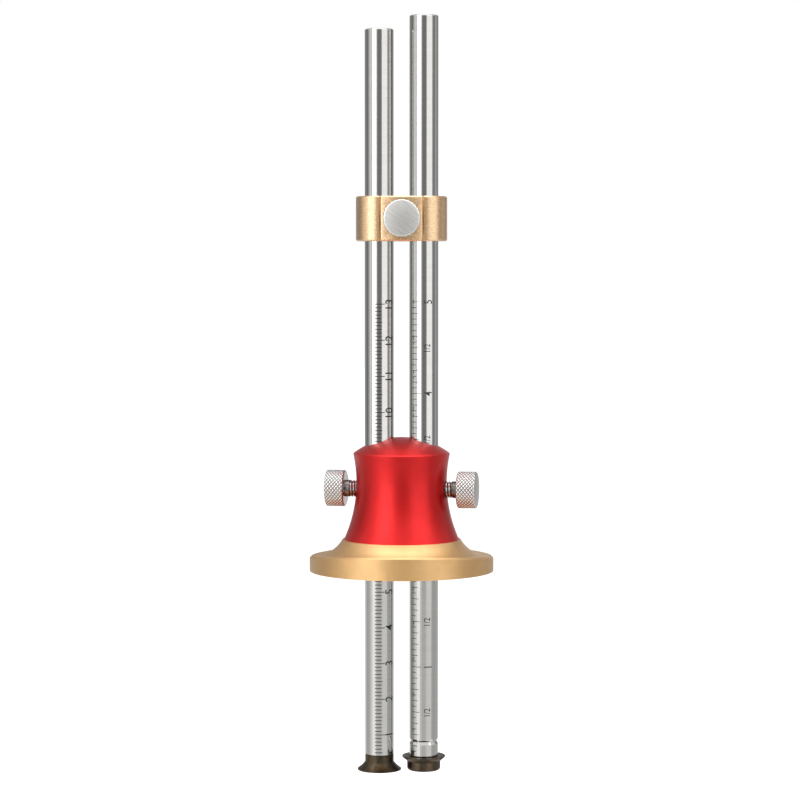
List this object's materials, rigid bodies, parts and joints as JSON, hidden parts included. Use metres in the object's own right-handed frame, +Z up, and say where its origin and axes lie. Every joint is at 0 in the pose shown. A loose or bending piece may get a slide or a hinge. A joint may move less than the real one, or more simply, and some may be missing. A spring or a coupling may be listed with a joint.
{
  "type": "mortise gauge",
  "caption": "Mortise gauge with two scaled steel rods, round cutters, a flared fence under a waisted red head, two lock screws and a bridge clamp.",
  "frame": {"origin": "centre of the fence's working face, on the axis of its head", "axes": "+Z up the rods, away from the cutters; +X from the metric rod to the inch rod; -Y towards the bridge's lock screw"},
  "size_m": [0.0514, 0.0514, 0.2101],
  "materials": {
    "red_anodised": "bright red anodised",
    "gold_anodised": "satin gold anodised",
    "ground_steel": "ground and polished",
    "plated_steel": "nickel plated",
    "steel_screw": "plain",
    "tool_steel": "dark bronze heat colour",
    "brass": "turned"
  },
  "bodies": {
    "head": {"head_body": "red_anodised", "fence_flange": "gold_anodised", "fence_screw_front": "steel_screw", "fence_screw_rear": "steel_screw"},
    "metric_rod": {"metric_rod": "ground_steel", "metric_cutter_screw": "steel_screw"},
    "inch_rod": {"inch_rod": "ground_steel", "inch_cutter_screw": "steel_screw"},
    "metric_cutter": {"metric_cutter": "tool_steel"},
    "inch_cutter": {"inch_cutter": "tool_steel"},
    "bridge": {"bridge_body": "gold_anodised"},
    "left_lock_tip": {"left_lock_tip": "brass"},
    "left_lock_screw": {"left_lock_screw": "plated_steel"},
    "right_lock_tip": {"right_lock_tip": "brass"},
    "right_lock_screw": {"right_lock_screw": "plated_steel"},
    "bridge_wedge": {"bridge_wedge": "brass"},
    "bridge_lock_screw": {"bridge_lock_screw": "plated_steel"}
  },
  "joints": [
    {"name": "metric_rod_slide", "type": "slide", "parent": "head", "child": "metric_rod", "axis": [0, 0, 1], "range_m": [-0.045, 0.05]},
    {"name": "inch_rod_slide", "type": "slide", "parent": "head", "child": "inch_rod", "axis": [0, 0, 1], "range_m": [-0.045, 0.05]},
    {"name": "bridge_slide", "type": "slide", "parent": "metric_rod", "child": "bridge", "axis": [0, 0, 1], "range_m": [-0.009, 0.045]},
    {"name": "metric_cutter_turn", "type": "hinge", "parent": "metric_rod", "child": "metric_cutter", "pos_m": [-0.0062, 0, -0.0539], "axis": [0, 0, 1], "continuous": true},
    {"name": "inch_cutter_turn", "type": "hinge", "parent": "inch_rod", "child": "inch_cutter", "pos_m": [0.0062, 0, -0.0541], "axis": [0, 0, 1], "continuous": true},
    {"name": "left_tip_travel", "type": "slide", "parent": "head", "child": "left_lock_tip", "axis": [-0.9848, 0.1736, 0], "range_m": [0, 0.0008]},
    {"name": "left_lock_turn", "type": "hinge", "parent": "left_lock_tip", "child": "left_lock_screw", "pos_m": [0, 0, 0.0227], "axis": [-0.9848, 0.1736, 0], "range_deg": [0, 360]},
    {"name": "right_tip_travel", "type": "slide", "parent": "head", "child": "right_lock_tip", "axis": [0.9848, -0.1736, 0], "range_m": [0, 0.0008]},
    {"name": "right_lock_turn", "type": "hinge", "parent": "right_lock_tip", "child": "right_lock_screw", "pos_m": [0, 0, 0.0227], "axis": [0.9848, -0.1736, 0], "range_deg": [0, 360]},
    {"name": "bridge_tip_travel", "type": "slide", "parent": "bridge", "child": "bridge_wedge", "axis": [0, -1, 0], "range_m": [0, 0.0008]},
    {"name": "bridge_lock_turn", "type": "hinge", "parent": "bridge_wedge", "child": "bridge_lock_screw", "pos_m": [0, 0, 0.09785], "axis": [0, -1, 0], "range_deg": [0, 360]}
  ],
  "couplings": [
    {"joint": "left_lock_turn", "follows": "left_tip_travel", "rad_per_m": 7854},
    {"joint": "right_lock_turn", "follows": "right_tip_travel", "rad_per_m": 7854},
    {"joint": "bridge_lock_turn", "follows": "bridge_tip_travel", "rad_per_m": 7854}
  ]
}
